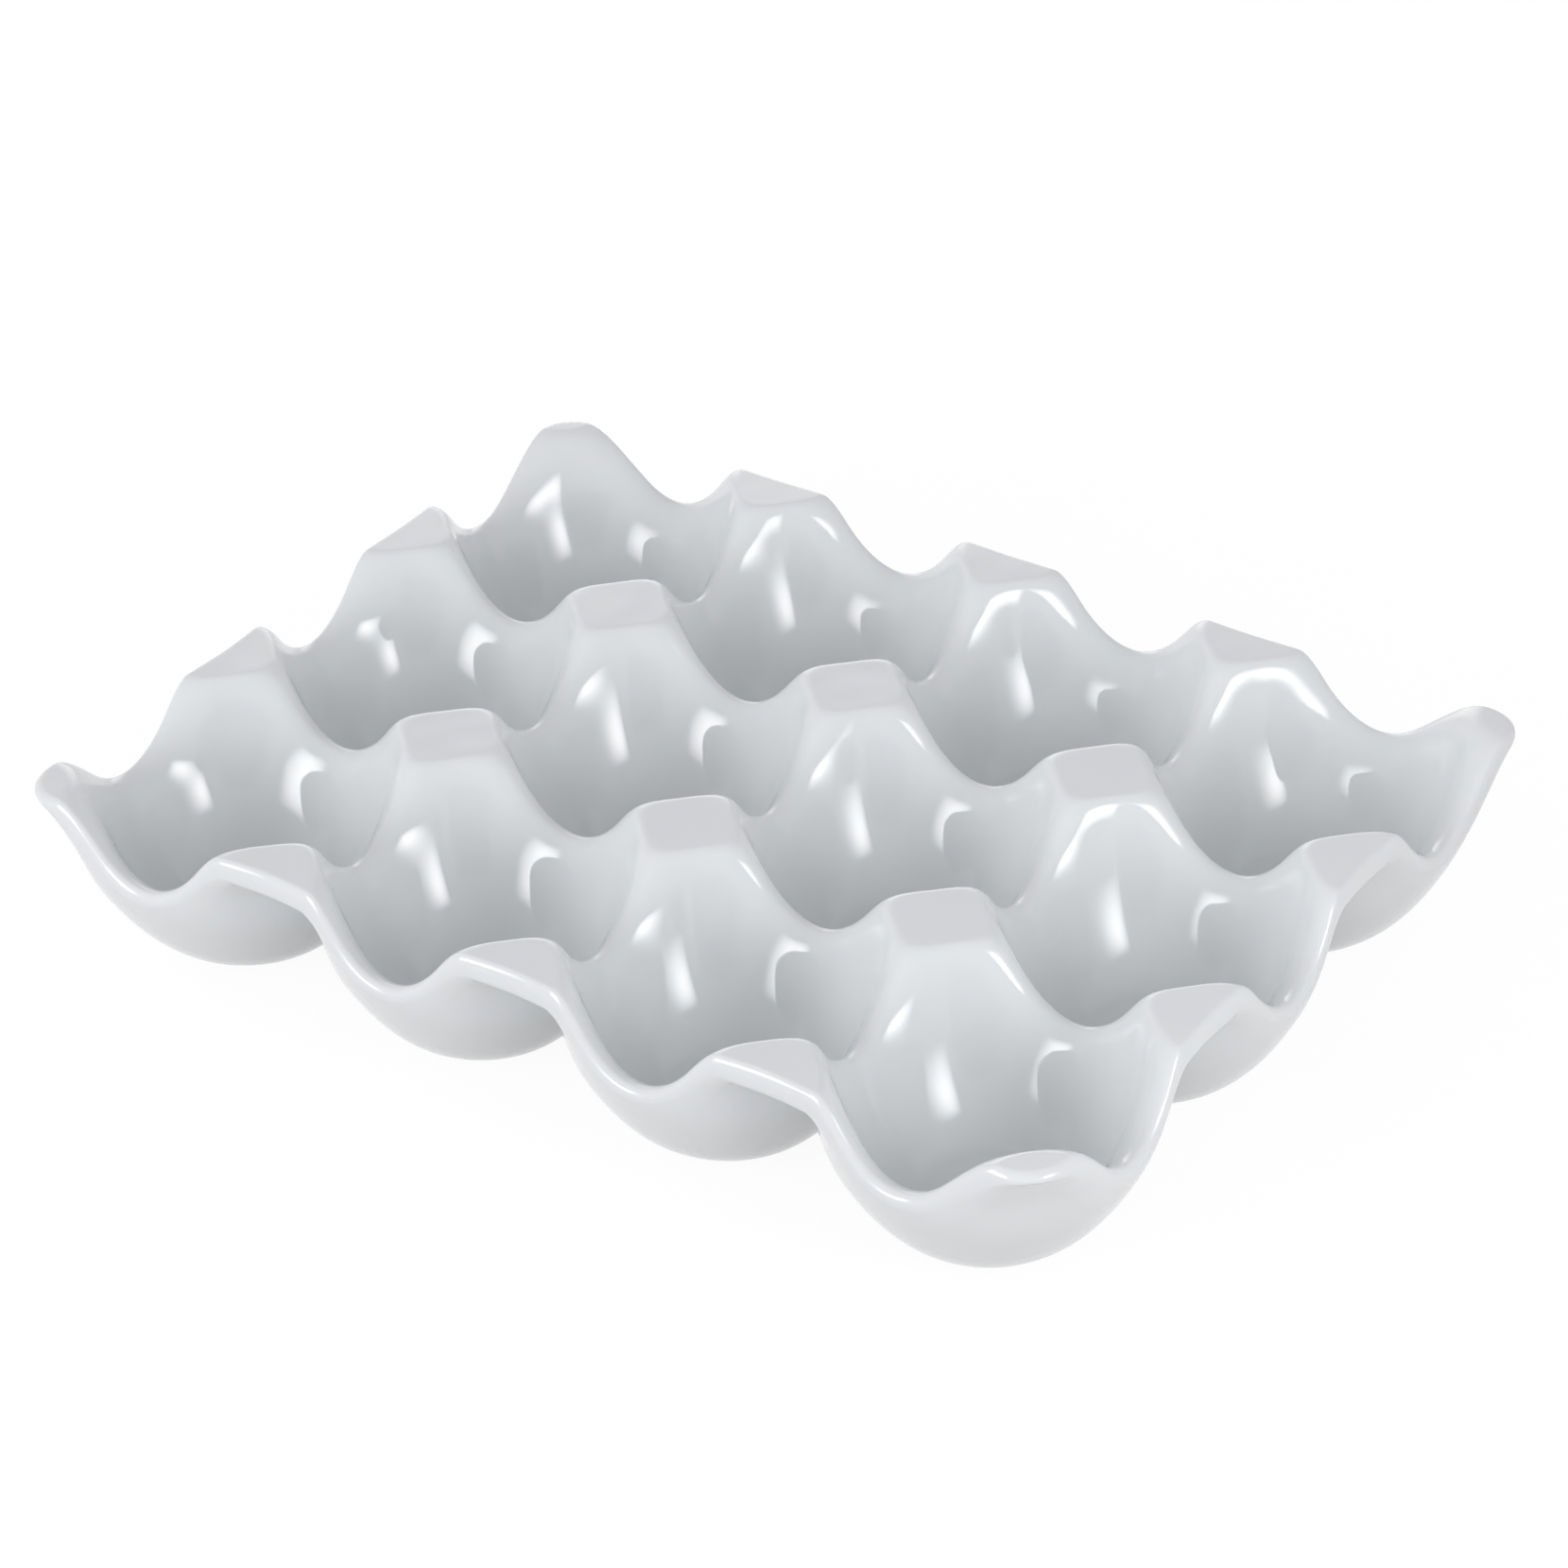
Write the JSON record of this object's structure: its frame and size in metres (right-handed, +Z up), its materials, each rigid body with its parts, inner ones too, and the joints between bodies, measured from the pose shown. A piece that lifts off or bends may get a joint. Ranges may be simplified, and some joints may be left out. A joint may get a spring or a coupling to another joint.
{
  "type": "egg tray",
  "caption": "White glazed porcelain egg tray: a grid of round cups with shared wavy crests and flat-topped peaks, each cup on its own small bare foot.",
  "frame": {"origin": "under the middle of the tray, on the surface that its feet stand on", "axes": "+X along the longer side, +Y along the shorter side, +Z up out of the cups"},
  "size_m": [0.2208, 0.1668, 0.039],
  "materials": {
    "glazed_porcelain": "white porcelain under a smooth, glossy, clear glaze",
    "bare_porcelain": "unglazed white porcelain, ground flat and matt"
  },
  "bodies": {
    "root": {"cup_a1": "glazed_porcelain", "cup_a2": "glazed_porcelain", "cup_a3": "glazed_porcelain", "cup_b1": "glazed_porcelain", "cup_b2": "glazed_porcelain", "cup_b3": "glazed_porcelain", "cup_c1": "glazed_porcelain", "cup_c2": "glazed_porcelain", "cup_c3": "glazed_porcelain", "cup_d1": "glazed_porcelain", "cup_d2": "glazed_porcelain", "cup_d3": "glazed_porcelain", "foot_a1": "bare_porcelain", "foot_a2": "bare_porcelain", "foot_a3": "bare_porcelain", "foot_b1": "bare_porcelain", "foot_b2": "bare_porcelain", "foot_b3": "bare_porcelain", "foot_c1": "bare_porcelain", "foot_c2": "bare_porcelain", "foot_c3": "bare_porcelain", "foot_d1": "bare_porcelain", "foot_d2": "bare_porcelain", "foot_d3": "bare_porcelain"}
  },
  "joints": []
}
